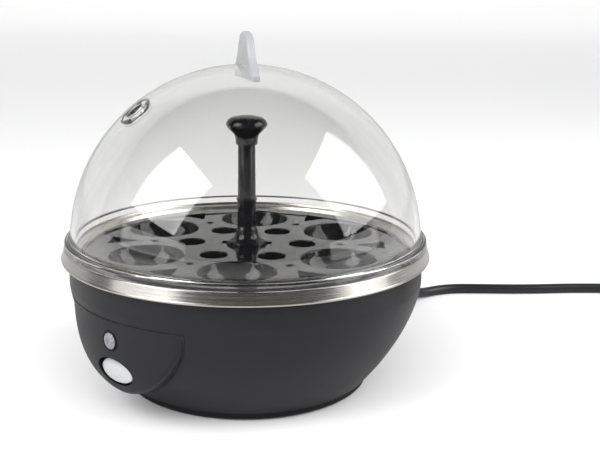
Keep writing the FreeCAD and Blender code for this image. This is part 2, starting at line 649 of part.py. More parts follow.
def make_relief():
    """Tapered strain relief with a flange inside the wall and flexing grooves."""
    collar = RELIEF_WALL + 5.0
    outline = [(0, RELIEF_INSIDE), (7.4, RELIEF_INSIDE), (7.4, RELIEF_INSIDE + 2.2), (5.5, RELIEF_INSIDE + 2.2),
               (5.5, collar), (3.9, EXIT_Y - 0.8), (3.5, EXIT_Y), (0, EXIT_Y)]
    solid = lathe(outline)
    for i in range(5):
        at = collar + 3.0 + 4.4 * i
        solid = solid.cut(ring(8.0, 3.7, at, at + 1.5))
    solid.rotate(V(0, 0, 0), V(1, 0, 0), -90)
    solid.translate(V(0, 0, EXIT_Z))
    return solid


def make_inner_lead():
    """The lead inside the base, from the strain relief through the clamp."""
    return rod(CORD_D / 2, V(0, RELIEF_INSIDE, EXIT_Z), V(0, LEAD_STRIPPED_Y, EXIT_Z))


def make_plug():
    """Moulded three-pin plug lying on its back, with a short sleeve where the lead enters."""
    body = box((-19, -21, 0.1), (19, 21, 18.0))
    body = body.makeFillet(7.0, [e for e in body.Edges if abs(e.tangentAt(e.FirstParameter).z) > 0.99])
    body = body.makeFillet(2.0, [e for e in body.Edges if e.BoundBox.ZMin > 17.9 or e.BoundBox.ZMax < 0.2])
    sleeve = rod(4.4, V(0, 20, 6.6), V(0, 30, 6.6))
    return placed(body.fuse(sleeve).removeSplitter(), PLUG_CENTRE, PLUG_TURN)


def make_pins():
    pins = [box((-2, 6, 18.0), (2, 14, 38.0))]
    for x in (-11, 11):
        pins.append(box((x - 3.15, -9.0, 18.0), (x + 3.15, -5.0, 35.7)))
    return [placed(pin, PLUG_CENTRE, PLUG_TURN) for pin in pins]


def placed(shape, at, degrees):
    out = turned(shape, degrees)
    out.translate(at)
    return out


save("lid_dome", make_lid())
save("steam_vent", make_steam_vent())
save("lid_handle", make_lid_handle())
save("egg_tray", make_tray())
save("post_shaft", make_post_shaft())
save("post_knob", make_post_knob())
save("water_pan", make_pan())
save("trim_band", make_band())
save("heating_element", make_element())
save("element_clips", make_element_clips())
save("heat_shield", make_heat_shield())
save("pan_posts", make_pan_posts())
save("thermostat", make_thermostat())
save("thermal_fuse", make_thermal_fuse())
save("pan_gasket", make_gasket())
save("body_shell", make_body())
save("carrying_lugs", make_lugs())
save("control_housing", make_pod())
save("power_button", make_button())
save("power_switch", make_switch())
save("button_spring", make_button_spring())
save("control_board", make_board())
save("indicator_lamp", make_lamp())
save("indicator_lens", make_lens())
save("base_cover", make_base_cover())
save("rubber_feet", make_feet())
save("base_screws", make_base_screws())
save("terminal_block", make_terminal_block())
save("terminal_screws", make_terminal_screws())
save("cord_clamp", make_cord_clamp())
save("inner_wires", make_wires())
save("strain_relief", make_relief())
save("inner_lead", make_inner_lead())
save("cord_lead", make_lead())
save("cord_coil", make_coil())
save("cord_tail", make_tail())
save("plug_body", make_plug())
save("plug_pins", make_pins())
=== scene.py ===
"""Electric egg cooker with a clear domed lid: its shapes and finishes, built round the fixed CAD frame."""

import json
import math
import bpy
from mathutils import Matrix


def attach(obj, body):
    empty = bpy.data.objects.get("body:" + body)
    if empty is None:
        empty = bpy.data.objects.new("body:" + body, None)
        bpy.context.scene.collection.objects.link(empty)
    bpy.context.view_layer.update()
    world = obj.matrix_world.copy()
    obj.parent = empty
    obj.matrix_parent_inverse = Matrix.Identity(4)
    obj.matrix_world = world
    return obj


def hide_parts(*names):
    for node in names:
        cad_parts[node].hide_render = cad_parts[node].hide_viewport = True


bl_info = {
    "name": "Egg cooker",
    "version": (1, 0, 0),
    "blender": (4, 5, 0),
    "location": "3D View > Sidebar > Egg cooker",
    "description": "Builds the shapes and finishes of an electric egg cooker with a clear domed lid",
    "category": "Add Mesh",
}

import bmesh
import bpy
import numpy as np
from bpy.props import FloatProperty, FloatVectorProperty, IntProperty, PointerProperty
from mathutils import Matrix, Vector

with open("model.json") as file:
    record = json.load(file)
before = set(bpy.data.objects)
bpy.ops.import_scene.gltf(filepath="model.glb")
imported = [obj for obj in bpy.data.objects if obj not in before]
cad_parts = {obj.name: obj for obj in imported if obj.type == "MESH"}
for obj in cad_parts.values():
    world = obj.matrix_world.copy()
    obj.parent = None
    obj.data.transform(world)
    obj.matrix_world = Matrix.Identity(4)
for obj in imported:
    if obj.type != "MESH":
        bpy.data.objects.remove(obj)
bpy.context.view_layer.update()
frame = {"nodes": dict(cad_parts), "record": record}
MM = 0.001

# lengths here are in millimetres, and squareness is the power of a superellipse
WALL, FOOT_LEVEL = 2.5, 3.8                 # the bowl's wall, and the height where the bowl ends
BOWL_POWER = 1.556                          # squareness of the bowl's curve
HOUSING_POWER, HOUSING_DROP = 3.28, 58.0    # squareness and depth of the housing's front face
ROOT_Y, OUT_STEP = -60.0, 24.0              # where the housing's outline starts, and a step out from there
ROOT_OUTLINE = (37.7, 37.8, 1.4)            # half width, drop and squareness of the outline where it starts
OUTLINE_CHANGE = (-2.0, -5.0, 0.6)          # what one step out adds to each
ARC_POINTS, TOP_POINTS = 120, 31            # points of the outline's arc, and of its level upper edge
BUTTON_POINTS = 128


# ---------------------------------------------------------------- numbers and arrays
def linear(code):
    """An sRGB hex colour as linear red, green and blue: the standard power curve with its straight foot."""
    c = np.array([int(code[i:i + 2], 16) for i in (1, 3, 5)]) / 255
    return tuple(np.where(c <= 0.04045, c / 12.92, ((c + 0.055) / 1.055) ** 2.4).tolist())


def rounded(points, radii, steps=7, closed=False):
    """Swap each corner for an arc that touches both sides: the arc's centre lies on the corner's
    halving line, and its points turn evenly from one touching point to the other."""
    p = np.asarray(points, float)
    r = np.broadcast_to(np.asarray(radii, float), len(p)).copy()
    if not closed:
        r[[0, -1]] = 0
    back, on = np.roll(p, 1, 0) - p, np.roll(p, -1, 0) - p
    back_l, on_l = np.linalg.norm(back, axis=1), np.linalg.norm(on, axis=1)
    a, b = back / back_l[:, None], on / on_l[:, None]
    half = np.arccos(np.clip((a * b).sum(1), -1, 1)) / 2
    reach = np.minimum(r / np.tan(half), 0.49 * np.minimum(back_l, on_l))
    middle = a + b
    middle /= np.linalg.norm(middle, axis=1)[:, None] + 1e-12
    centre = p + middle * (reach / np.cos(half))[:, None]
    turn = np.maximum(np.pi - 2 * half, 1e-6)[:, None, None]
    s = np.linspace(0, 1, steps)[None, :, None]
    arms = (p + a * reach[:, None] - centre)[:, None], (p + b * reach[:, None] - centre)[:, None]
    arc = (np.sin((1 - s) * turn) * arms[0] + np.sin(s * turn) * arms[1]) / np.sin(turn)
    return (centre[:, None] + arc).reshape(-1, 2)


def smooth_line(points, count):
    """A curve through every point: each span is the cubic whose end slopes are half the step between
    the points either side of it."""
    p = np.asarray(points, float)
    ends = np.vstack([2 * p[0] - p[1], p, 2 * p[-1] - p[-2]])
    t = np.linspace(0, len(p) - 1 - 1e-9, count)
    k, f = t.astype(int), (t % 1)[:, None]
    a, b, c, d = ends[k], ends[k + 1], ends[k + 2], ends[k + 3]
    return b + 0.5 * f * (c - a + f * (2 * a - 5 * b + 4 * c - d + f * (3 * (b - c) + d - a)))


def revolved(profile, steps=160):
    """Turn a line of (radius, height) points about the upright axis: x is radius times the cosine of
    the turn and y is radius times its sine."""
    t = np.linspace(0, 2 * np.pi, steps, endpoint=False)[:, None]
    r, z = np.asarray(profile, float).T
    return np.stack([r * np.cos(t), r * np.sin(t), np.broadcast_to(z, (steps, len(z)))], -1)


def stood(grid, origin, axis):
    """Turn a grid so that its upright axis lies along another direction, then move it there."""
    turn = np.array(Vector((0, 0, 1)).rotation_difference(Vector(axis)).to_matrix())
    return grid @ turn.T + np.asarray(origin, float)


def around(degrees, radius, z=0.0):
    """The point at a direction measured round from -Y, towards +X."""
    a = math.radians(degrees)
    return np.array([radius * math.sin(a), -radius * math.cos(a), z])


# ---------------------------------------------------------------- meshes
def tidy(mesh, sharp):
    """Merge doubles, turn faces outwards and shade smooth between edges sharper than an angle."""
    work = bmesh.new()
    work.from_mesh(mesh)
    bmesh.ops.remove_doubles(work, verts=work.verts, dist=2e-6)
    bmesh.ops.dissolve_degenerate(work, edges=work.edges, dist=1e-7)
    bmesh.ops.recalc_face_normals(work, faces=work.faces)
    work.to_mesh(mesh)
    work.free()
    mesh.shade_smooth()
    mesh.set_sharp_from_angle(angle=math.radians(sharp))


def skin(name, sheets, sharp=38):
    """One mesh from grids of points in millimetres. Each sheet is (grid, rows closed, columns closed):
    every point joins its neighbours in four sided faces, and a closed way also joins its ends."""
    points, faces, base = [], [], 0
    for grid, close_rows, close_columns in sheets:
        rows, columns = grid.shape[:2]
        index = np.arange(rows * columns).reshape(rows, columns) + base
        index = np.vstack([index, index[:1]]) if close_rows else index
        index = np.hstack([index, index[:, :1]]) if close_columns else index
        corners = [index[:-1, :-1], index[1:, :-1], index[1:, 1:], index[:-1, 1:]]
        faces.append(np.stack(corners, -1).reshape(-1, 4))
        points.append(grid.reshape(-1, 3) * MM)
        base += rows * columns
    mesh = bpy.data.meshes.new(name)
    mesh.from_pydata(np.vstack(points).tolist(), [], np.vstack(faces).tolist())
    tidy(mesh, sharp)
    return mesh


def piece(name, mesh, body, material, stands_for=()):
    """Put a mesh in the scene as a piece of a body, with its finish."""
    thing = bpy.data.objects.new(name, mesh)
    bpy.context.scene.collection.objects.link(thing)
    mesh.materials.clear()
    mesh.materials.append(material)
    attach(thing, body)
    if stands_for:
        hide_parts(*stands_for)
    return thing


def merged_copy(name, node, body, material, sharp=30):
    """A CAD node's own shape as one joined mesh: smooth over its curves, crisp at its edges, and with
    each corner's shading led by its widest faces."""
    mesh = frame["nodes"][node].data.copy()
    mesh.name = name
    for custom in ("custom_normal", "sharp_face", "sharp_edge"):
        if custom in mesh.attributes:
            mesh.attributes.remove(mesh.attributes[custom])
    tidy(mesh, sharp)
    thing = piece(name, mesh, body, material, (node,))
    lean = thing.modifiers.new("shading", "WEIGHTED_NORMAL")
    lean.keep_sharp = True
    lean.weight = 80
    return thing


def cut(thing, mesh):
    """Take one closed mesh out of a piece and keep the result as the piece's own mesh."""
    knife = bpy.data.objects.new("knife", mesh)
    bpy.context.scene.collection.objects.link(knife)
    hole = thing.modifiers.new("hole", "BOOLEAN")
    hole.operation, hole.solver, hole.object = "DIFFERENCE", "EXACT", knife
    bpy.context.view_layer.update()
    result = bpy.data.meshes.new_from_object(thing.evaluated_get(bpy.context.evaluated_depsgraph_get()))
    thing.modifiers.clear()
    old, thing.data = thing.data, result
    bpy.data.meshes.remove(old)
    bpy.data.objects.remove(knife)
    result.shade_smooth()
    result.set_sharp_from_angle(angle=math.radians(38))
    return thing


# ---------------------------------------------------------------- finishes
def add(tree, kind, inputs=None, **settings):
    """Add one shader node: settings are its choices, and inputs are socket values or the sockets that
    feed them."""
    made = tree.nodes.new(kind)
    for key, value in settings.items():
        setattr(made, key, value)
    for key, value in (inputs or {}).items():
        if isinstance(value, bpy.types.NodeSocket):
            tree.links.new(value, made.inputs[key])
        else:
            made.inputs[key].default_value = value
    return made


def new_finish(name, colour, **sockets):
    """A material with one main shader, whose even values are set on its own sockets."""
    material = bpy.data.materials.new(name)
    material.use_nodes = True
    tree = material.node_tree
    tree.nodes.clear()
    values = {key.replace("_", " "): value for key, value in sockets.items()}
    shader = add(tree, "ShaderNodeBsdfPrincipled", {"Base Color": (*colour, 1.0), **values})
    shader.location = (300, 0)
    add(tree, "ShaderNodeOutputMaterial", {"Surface": shader.outputs[0]}).location = (700, 0)
    place = add(tree, "ShaderNodeTexCoord").outputs["Object"]
    return material, tree, shader, place


def grain(tree, shader, place, size_mm, height_mm, strength=1.0, detail=2.0):
    """Raise and lower the surface by noise whose lumps are so many millimetres across."""
    noise = add(tree, "ShaderNodeTexNoise", {"Vector": place, "Scale": 1000 / size_mm, "Detail": detail})
    bump = add(tree, "ShaderNodeBump",
               {"Height": noise.outputs[0], "Distance": height_mm * MM, "Strength": strength})
    tree.links.new(bump.outputs[0], shader.inputs["Normal"])
    return noise.outputs[0]


def varied(tree, shader, socket, factor, low, high):
    """Let a value or colour of the shader wander between two ends with a factor."""
    if isinstance(low, tuple):
        mix = add(tree, "ShaderNodeMix", {0: factor, 6: (*low, 1.0), 7: (*high, 1.0)}, data_type="RGBA")
        tree.links.new(mix.outputs[2], shader.inputs[socket])
    else:
        span = add(tree, "ShaderNodeMapRange", {0: factor, 1: 0.3, 2: 0.7, 3: low, 4: high})
        tree.links.new(span.outputs[0], shader.inputs[socket])


def clear_plastic(name, colour, through, roughness=0.0, ior=1.49):
    """Injection moulded clear acrylic: glassy and colourless, a little wavy, and light falls through it."""
    material, tree, shader, place = new_finish(name, colour, Transmission_Weight=1.0, IOR=ior, Roughness=roughness)
    waves = grain(tree, shader, place, 26.0, 0.05, 0.35, 0.0)
    varied(tree, shader, "Roughness", waves, roughness, roughness + 0.012)
    open_way = add(tree, "ShaderNodeBsdfTransparent", {"Color": (*through, 1.0)})
    rays = add(tree, "ShaderNodeLightPath")
    both = add(tree, "ShaderNodeMixShader",
               {0: rays.outputs["Is Shadow Ray"], 1: shader.outputs[0], 2: open_way.outputs[0]})
    out = next(n for n in tree.nodes if n.type == "OUTPUT_MATERIAL")
    tree.links.new(both.outputs[0], out.inputs["Surface"])
    return material


def milky_plastic(name, colour, clear, roughness):
    """Moulded plastic with a little pigment in it: light soaks into its edges, and its skin is polished."""
    material, tree, shader, place = new_finish(name, colour, Transmission_Weight=clear, IOR=1.5, Roughness=roughness)
    cloud = grain(tree, shader, place, 5.0, 0.02, 0.3, 2.0)
    varied(tree, shader, "Base Color", cloud, tuple(0.9 * c for c in colour), tuple(min(1, 1.05 * c) for c in colour))
    varied(tree, shader, "Roughness", cloud, roughness - 0.04, roughness + 0.05)
    return material


def gloss_black(name, colour):
    """Polished black ABS from a mirror finished mould: deep black under a sharp, slightly rippled gloss."""
    material, tree, shader, place = new_finish(name, colour, Roughness=0.05, IOR=1.5)
    ripple = grain(tree, shader, place, 14.0, 0.03, 0.4, 0.0)
    haze = add(tree, "ShaderNodeTexNoise", {"Vector": place, "Scale": 90.0, "Detail": 5.0}).outputs[0]
    varied(tree, shader, "Roughness", haze, 0.02, 0.07)
    varied(tree, shader, "Base Color", ripple, colour, tuple(1.3 * c for c in colour))
    return material


def satin_moulded(name, colour, roughness, grain_mm=0.5, height_mm=0.012):
    """ABS moulded in a spark eroded tool: an even dull sheen over a fine random grain."""
    material, tree, shader, place = new_finish(name, colour, Roughness=roughness, IOR=1.46, Specular_IOR_Level=0.34)
    grain(tree, shader, place, grain_mm, height_mm, 0.5, 3.0)
    cloud = add(tree, "ShaderNodeTexNoise", {"Vector": place, "Scale": 45.0, "Detail": 4.0}).outputs[0]
    varied(tree, shader, "Roughness", cloud, roughness - 0.04, roughness + 0.05)
    varied(tree, shader, "Base Color", cloud, tuple(0.93 * c for c in colour), tuple(1.07 * c for c in colour))
    return material


def spun_steel(name, colour, roughness, line_mm, deep_mm):
    """Stainless steel spun on a lathe and brushed: fine rings round the axis, which draw the light out
    into bright sheets across them."""
    material, tree, shader, place = new_finish(name, colour, Metallic=1.0, Roughness=roughness, Anisotropic=0.6,
                                               Anisotropic_Rotation=0.25)
    apart = add(tree, "ShaderNodeSeparateXYZ", {0: place})
    flat = add(tree, "ShaderNodeCombineXYZ", {0: apart.outputs[0], 1: apart.outputs[1]})
    reach = add(tree, "ShaderNodeVectorMath", {0: flat.outputs[0]}, operation="LENGTH").outputs["Value"]
    # the rings depend on radius and height, and drift slowly round the turn so that no line runs whole
    drift = add(tree, "ShaderNodeTexNoise", {"Vector": place, "Scale": 30.0}).outputs[0]
    slow = add(tree, "ShaderNodeMath", {0: drift, 1: 0.0006}, operation="MULTIPLY").outputs[0]
    lines = add(tree, "ShaderNodeCombineXYZ", {0: reach, 1: slow, 2: apart.outputs[2]})
    rings = add(tree, "ShaderNodeTexNoise",
                {"Vector": lines.outputs[0], "Scale": 1000 / line_mm, "Detail": 3.0}).outputs[0]
    bump = add(tree, "ShaderNodeBump", {"Height": rings, "Distance": deep_mm * MM, "Strength": 0.6})
    tree.links.new(bump.outputs[0], shader.inputs["Normal"])
    round_way = add(tree, "ShaderNodeTangent", direction_type="RADIAL", axis="Z").outputs[0]
    tree.links.new(round_way, shader.inputs["Tangent"])
    varied(tree, shader, "Roughness", rings, roughness - 0.06, roughness + 0.08)
    varied(tree, shader, "Base Color", rings, tuple(0.9 * c for c in colour), colour)
    return material


def plain_metal(name, colour, roughness, size_mm=1.5):
    """Rolled or plated metal: a soft cloudy sheen."""
    material, tree, shader, place = new_finish(name, colour, Metallic=1.0, Roughness=roughness)
    cloud = grain(tree, shader, place, size_mm, 0.02, 0.4, 4.0)
    varied(tree, shader, "Roughness", cloud, roughness - 0.08, roughness + 0.1)
    varied(tree, shader, "Base Color", cloud, tuple(0.85 * c for c in colour), colour)
    return material


def soft_skin(name, colour, roughness, size_mm, height_mm):
    """Rubber, vinyl or fired clay: a dull skin with small lumps."""
    material, tree, shader, place = new_finish(name, colour, Roughness=roughness, IOR=1.5)
    cloud = grain(tree, shader, place, size_mm, height_mm, 0.5, 3.0)
    varied(tree, shader, "Roughness", cloud, roughness - 0.05, roughness + 0.05)
    varied(tree, shader, "Base Color", cloud, tuple(0.88 * c for c in colour), tuple(min(1, 1.1 * c) for c in colour))
    return material


def silver_lacquer(name, colour):
    """ABS sprayed with silver lacquer: fine bright flakes under a clear coat."""
    flake_mm = 0.25
    material, tree, shader, place = new_finish(name, colour, Metallic=0.25, Roughness=0.3, Coat_Weight=0.6,
                                               Coat_Roughness=0.1)
    flakes = add(tree, "ShaderNodeTexVoronoi", {"Vector": place, "Scale": 1000 / flake_mm}).outputs["Distance"]
    varied(tree, shader, "Base Color", flakes, colour, tuple(0.8 * c for c in colour))
    grain(tree, shader, place, 0.8, 0.004, 0.4, 2.0)
    return material


FINISHES = {}


def finish(slot):
    """The material for one of the part's material slots, made once."""
    if slot not in FINISHES:
        shades = bpy.context.scene.egg_cooker_shades
        makers = {
            "clear_lid": lambda: clear_plastic("Acrylic, injection moulded clear", tuple(shades.lid),
                                               tuple(shades.lid)),
            "tinted_handle": lambda: milky_plastic("Acrylic, moulded smoky grey", linear("#c4c6ca"), 0.3, 0.16),
            "black_gloss": lambda: gloss_black("ABS, mirror moulded black", tuple(shades.tray)),
            "charcoal_satin": lambda: satin_moulded("ABS, spark textured charcoal", tuple(shades.body), 0.36),
            "charcoal_dark": lambda: satin_moulded("ABS, spark textured dark grey", tuple(shades.foot), 0.45),
            "pan_steel": lambda: spun_steel("Stainless steel, deep drawn", tuple(shades.steel), 0.24, 0.5, 0.01),
            "band_steel": lambda: spun_steel("Stainless steel, spun and brushed", tuple(shades.steel), 0.23, 0.3,
                                             0.003),
            "button_silver": lambda: silver_lacquer("ABS, silver lacquered", tuple(shades.button)),
            "lens_clear": lambda: milky_plastic("Polycarbonate, frosted lens", linear("#8e8f94"), 0.2, 0.12),
            "lamp_glass": lambda: clear_plastic("Soda glass, neon lamp", linear("#f0c0a0"), linear("#e0b090"), 0.02,
                                                1.52),
            "silicone_grey": lambda: soft_skin("Silicone rubber, moulded grey", linear("#8b8b8d"), 0.6, 0.8, 0.02),
            "rubber_black": lambda: soft_skin("Nitrile rubber, moulded black", linear("#2b2b2b"), 0.7, 0.6, 0.03),
            "element_steel": lambda: plain_metal("Steel tube, heat darkened", linear("#8f867d"), 0.42, 3.0),
            "zinc_steel": lambda: plain_metal("Steel, zinc plated", linear("#c9cccf"), 0.3, 1.2),
            "aluminium": lambda: plain_metal("Aluminium, rolled sheet", linear("#d5d5d8"), 0.34, 2.0),
            "ceramic_white": lambda: soft_skin("Phenolic, pressed cream", linear("#e6e2d8"), 0.5, 0.9, 0.03),
            "board_green": lambda: soft_skin("Glass epoxy board, green mask", linear("#1f5c34"), 0.35, 0.6, 0.01),
            "wire_sleeve": lambda: soft_skin("Silicone sleeving, extruded brown", linear("#8a5a35"), 0.45, 0.5, 0.02),
            "cord_black": lambda: soft_skin("PVC, extruded black", tuple(shades.cord), 0.38, 0.7, 0.012),
            "plug_black": lambda: satin_moulded("PVC, moulded black", linear("#242427"), 0.34, 0.6, 0.01),
            "pin_brass": lambda: plain_metal("Brass, nickel plated", linear("#d9cfae"), 0.24, 1.0),
            "spring_steel": lambda: plain_metal("Spring steel, drawn wire", linear("#b8babd"), 0.3, 0.4),
            # the seam shadow finish is near-black painted shade, laid in joints and gaps where shadow falls
            "seam_shadow": lambda: satin_moulded("ABS, painted seam shadow", linear("#0a0a0b"), 0.6),
        }
        FINISHES[slot] = makers[slot]()
    return FINISHES[slot]


# ---------------------------------------------------------------- sizes and colours to change
def size(label, about, default):
    """A length in metres, given here in millimetres."""
    return FloatProperty(name=label, description=about, default=default * MM, unit="LENGTH", subtype="DISTANCE",
                         precision=5)


def shade(label, about, code):
    """A colour that a user can change, given as an sRGB hex code."""
    return FloatVectorProperty(name=label, description=about, default=linear(code), size=3, min=0.0, max=1.0,
                               subtype="COLOR")


class CookerSizes(bpy.types.PropertyGroup):
    dome_radius: size("Dome radius", "Outside radius of the lid's dome", 82.0)
    dome_centre: size("Dome centre", "Height of the dome's centre", 67.6)
    lid_wall: size("Lid wall", "Thickness of the lid's wall", 2.2)
    lid_seat: size("Lid seat", "Height of the lid's lower edge", 66.5)
    flange_radius: size("Flange radius", "Outside radius of the lid's flange", 84.5)
    flange_top: size("Flange top", "Height of the flange's upper face", 70.6)
    fin_top: size("Fin top", "Height of the fin on the lid", 164.6)
    fin_thickness: size("Fin thickness", "Thickness of the fin", 3.6)
    tray_top: size("Tray top", "Height of the tray's upper face", 65.8)
    bowl_radius: size("Bowl radius", "Outside radius of the moulded bowl at its upper edge", 82.8)
    bowl_top: size("Bowl top", "Height of the bowl's upper edge", 61.0)
    bowl_start: size("Bowl start", "Height below which the bowl curves in", 51.3)
    bowl_drop: size("Bowl drop", "Depth of the bowl's curve if it ran to the axis", 82.4)
    housing_top: size("Housing top", "Height of the control housing's upper edge", 47.3)
    housing_radius: size("Housing radius", "Radius of the housing's front face at its top", 82.4)
    button_width: size("Button width", "Width of the power button", 21.0)
    button_height: size("Button height", "Height of the power button", 10.6)
    button_level: size("Button level", "Height of the middle of the power button", 23.6)
    lens_level: size("Lamp level", "Height of the indicator lens", 38.0)
    cord_diameter: size("Cord diameter", "Outside diameter of the mains lead", 5.6)
    fin_turn: FloatProperty(name="Fin direction", description="Way the fin points, round from the front",
                            default=math.radians(55), unit="ROTATION", subtype="ANGLE")
    vent_turn: FloatProperty(name="Vent direction", description="Way the steam vent faces, round from the front",
                             default=math.radians(-24), unit="ROTATION", subtype="ANGLE")
    coil_points: IntProperty(name="Points a turn", description="Points of the lead's spline in each turn of its coil",
                             default=14, min=12)


class CookerShades(bpy.types.PropertyGroup):
    lid: shade("Lid", "Tint of the clear lid", "#f6f6f5")
    tray: shade("Tray", "Colour of the tray and its post", "#0c0c0e")
    body: shade("Body", "Colour of the moulded body", "#1d1c1f")
    foot: shade("Base", "Colour of the base ring", "#0c0c0d")
    steel: shade("Steel", "Colour of the steel band and pan", "#cfccc6")
    button: shade("Button", "Colour of the power button", "#cdced2")
    cord: shade("Cord", "Colour of the mains lead", "#1d1d20")
    floor: shade("Floor", "Colour of the floor", "#f9f9f9")


def sizes():
    """The sizes in millimetres, by name."""
    group = bpy.context.scene.egg_cooker_sizes
    turns = ("fin_turn", "vent_turn")
    lengths = [k for k in group.__annotations__ if k not in (*turns, "coil_points")]
    return type("Sizes", (), {**{k: getattr(group, k) / MM for k in lengths}, "coil_points": group.coil_points,
                              **{k: math.degrees(getattr(group, k)) for k in turns}})


# ---------------------------------------------------------------- operators
class Maker:
    """What the builders share: each one makes its pieces in the running scene."""
    bl_options = {"REGISTER", "UNDO"}

    def execute(self, context):
        self.build(sizes())
        return {"FINISHED"}


class AddCamera(Maker, bpy.types.Operator):
    """Place the camera a little above the object, turned half right"""
    bl_idname = "egg_cooker.camera"
    bl_label = "Camera"

    def build(self, s):
        away, around_z, above = 0.51084, math.radians(45), math.radians(14.736)
        yaw, pitch, roll = 0.0494, 0.0162, 0.0109
        back = Vector((math.sin(around_z) * math.cos(above), -math.cos(around_z) * math.cos(above), math.sin(above)))
        ahead = -back
        side = Vector((math.cos(around_z), math.sin(around_z), 0))
        upward = side.cross(ahead)
        ahead = (ahead + math.tan(yaw) * side + math.tan(pitch) * upward).normalized()
        side = ahead.cross(Vector((0, 0, 1))).normalized()
        upward = side.cross(ahead)
        across = math.cos(roll) * side + math.sin(roll) * upward
        upright = math.cos(roll) * upward - math.sin(roll) * side
        place = Vector((0, 0, s.tray_top * MM)) + away * back
        camera = bpy.data.cameras.new("camera")
        camera.lens, camera.sensor_width, camera.clip_start = 64.58, 36.0, 0.01
        thing = bpy.data.objects.new("camera", camera)
        thing.matrix_world = Matrix((across, upright, -ahead)).transposed().to_4x4()
        thing.matrix_world.translation = place
        bpy.context.scene.collection.objects.link(thing)
        bpy.context.scene.camera = thing


class AddCord(Maker, bpy.types.Operator):
    """Lay the mains lead: out of the rear wall, over the table, into a small coil and on to its plug"""
    bl_idname = "egg_cooker.cord"
    bl_label = "Mains lead"

    def build(self, s):
        low = s.cord_diameter / 2 + 0.1
        route = [(0, 95.5, 22), (0, 106, 22), (-2, 119, 20.2), (-7, 138, 8.4), (-11, 157, low), (-5, 177, low),
                 (11, 192, low), (31, 210, low), (51, 233, low), (72, 252, low)]
        centre, middle = np.array([115.0, 251.0]), 30.0
        turns = 3.375
        t = np.linspace(0, turns, int(turns * s.coil_points) + 1)
        ease = lambda start, end: np.clip((t - start) / (end - start), 0, 1)
        step = s.cord_diameter / 2 + 0.05
        r = middle + step * (1 - 2 * ease(0.75, 1.15) + 2 * ease(2.5, 2.9))
        z = low + 2 * step * ease(1.75, 2.2)
        a = math.radians(135) - 2 * np.pi * t
        r = r * (1 + 0.5 * (1 - math.cos(math.pi / s.coil_points)))
        coil = np.stack([centre[0] + r * np.cos(a), centre[1] + r * np.sin(a), z], -1)
        tail = [(148.0, 240, 8.4), (147.2, 228, 7.2), (147, 217, 6.6), (147, 212, 6.6)]
        points = np.vstack([route, coil, tail]) * MM
        curve = bpy.data.curves.new("mains_lead", "CURVE")
        curve.dimensions = "3D"
        spline = curve.splines.new("NURBS")
        spline.points.add(len(points) - 1)
        spline.points.foreach_set("co", np.hstack([points, np.ones((len(points), 1))]).ravel())
        spline.order_u = 3
        spline.use_endpoint_u = True
        spline.resolution_u = 8
        curve.bevel_depth, curve.bevel_resolution = s.cord_diameter / 2 * MM, 6
        curve.use_fill_caps = True
        curve.materials.append(finish("cord_black"))
        lead = bpy.data.objects.new("mains_lead", curve)
        bpy.context.scene.collection.objects.link(lead)
        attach(lead, "base")
        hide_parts("cord_lead", "cord_coil", "cord_tail")

        wall, end, level = 70.2, 102.2, 22.0
        collar = wall + 5
        profile = [(0, wall - 8.6), (7.4, wall - 8.6), (7.4, wall - 6.4), (5.5, wall - 6.4), (5.5, collar + 2.4)]
        for i in range(5):
            at = collar + 3 + 4.4 * i
            outer = 5.5 - 1.6 * (at - collar) / (end - collar)
            profile += [(outer, at), (3.7, at + 0.1), (3.7, at + 1.4), (outer - 0.1, at + 1.5),
                        (outer - 0.2, at + 4.3)]
        profile = profile[:-1] + [(3.9, end - 0.8), (3.1, end), (0, end)]
        sleeve = revolved(rounded(profile, 0.35, 4), 64)
        sleeve = stood(sleeve, (0, 0, level), (0, 1, 0))
        relief = piece("lead_sleeve", skin("lead_sleeve", [(sleeve, True, False)]), "base",
                       finish("cord_black"), ("strain_relief",))
        plug = merged_copy("plug_moulding", "plug_body", "base", finish("plug_black"))
        pins = merged_copy("plug_contacts", "plug_pins", "base", finish("pin_brass"))


